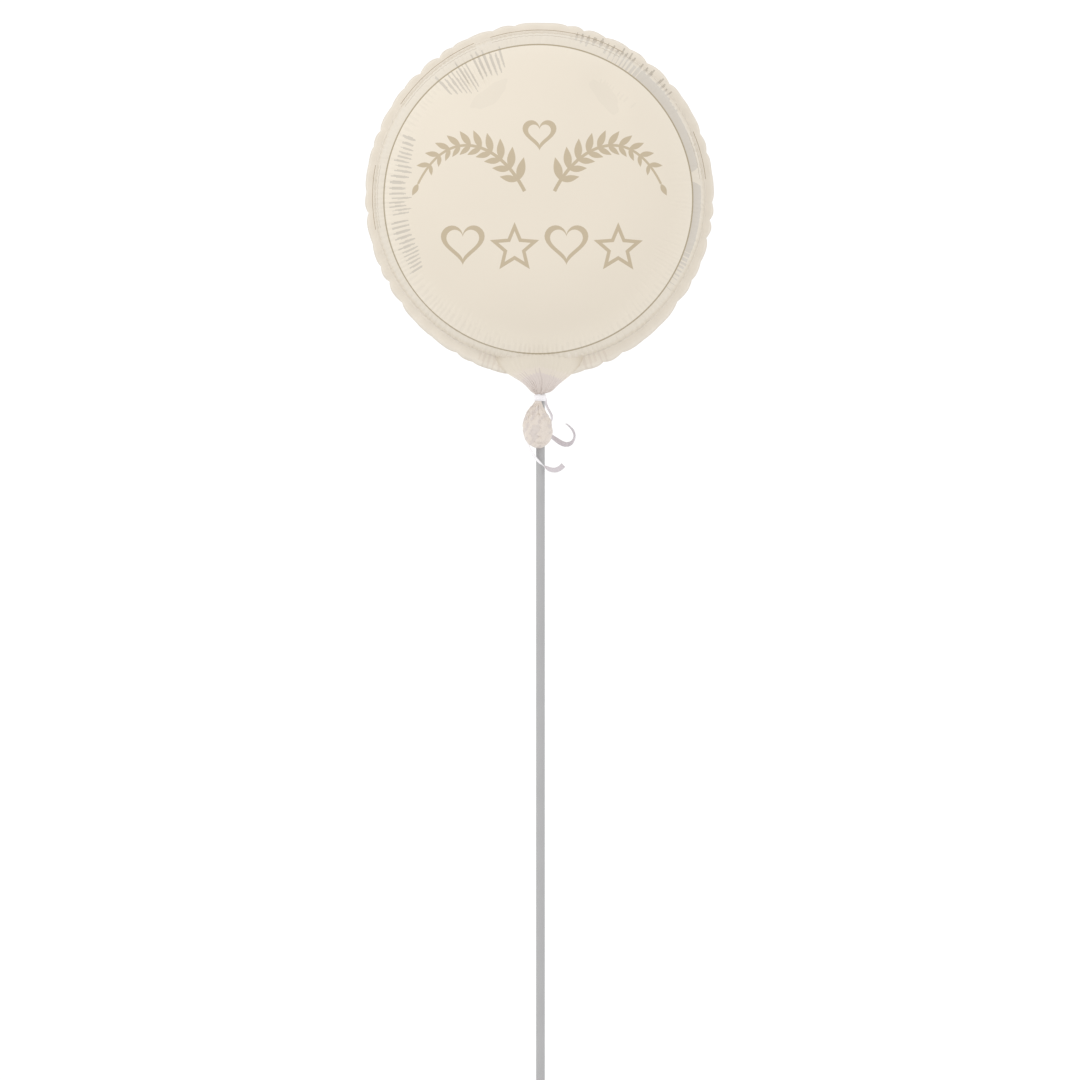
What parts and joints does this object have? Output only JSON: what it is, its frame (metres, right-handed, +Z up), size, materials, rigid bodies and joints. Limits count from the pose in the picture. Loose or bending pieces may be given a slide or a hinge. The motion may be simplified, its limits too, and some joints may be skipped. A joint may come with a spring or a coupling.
{
  "type": "round foil balloon",
  "caption": "Round filled foil balloon with a crimped edge, gathered by a curled ribbon onto a long plain stick, lying on its back.",
  "frame": {"origin": "middle of the box round balloon, stick and tie, on the ground that the part lies on", "axes": "+Y along the stick towards the balloon, +Z up out of the printed face, +X to the right seen from above with the stick towards the viewer"},
  "size_m": [0.3522, 1.1046, 0.202],
  "materials": {
    "foil": "pearly satin cream film with a pale taupe print",
    "stick": "matte light grey",
    "ribbon": "white satin, grey-lilac inside"
  },
  "bodies": {
    "root": {"foil_balloon": "foil", "balloon_stick": "stick", "ribbon_tie": "ribbon", "ribbon_curl_upper": "ribbon", "ribbon_curl_lower": "ribbon"}
  },
  "joints": []
}
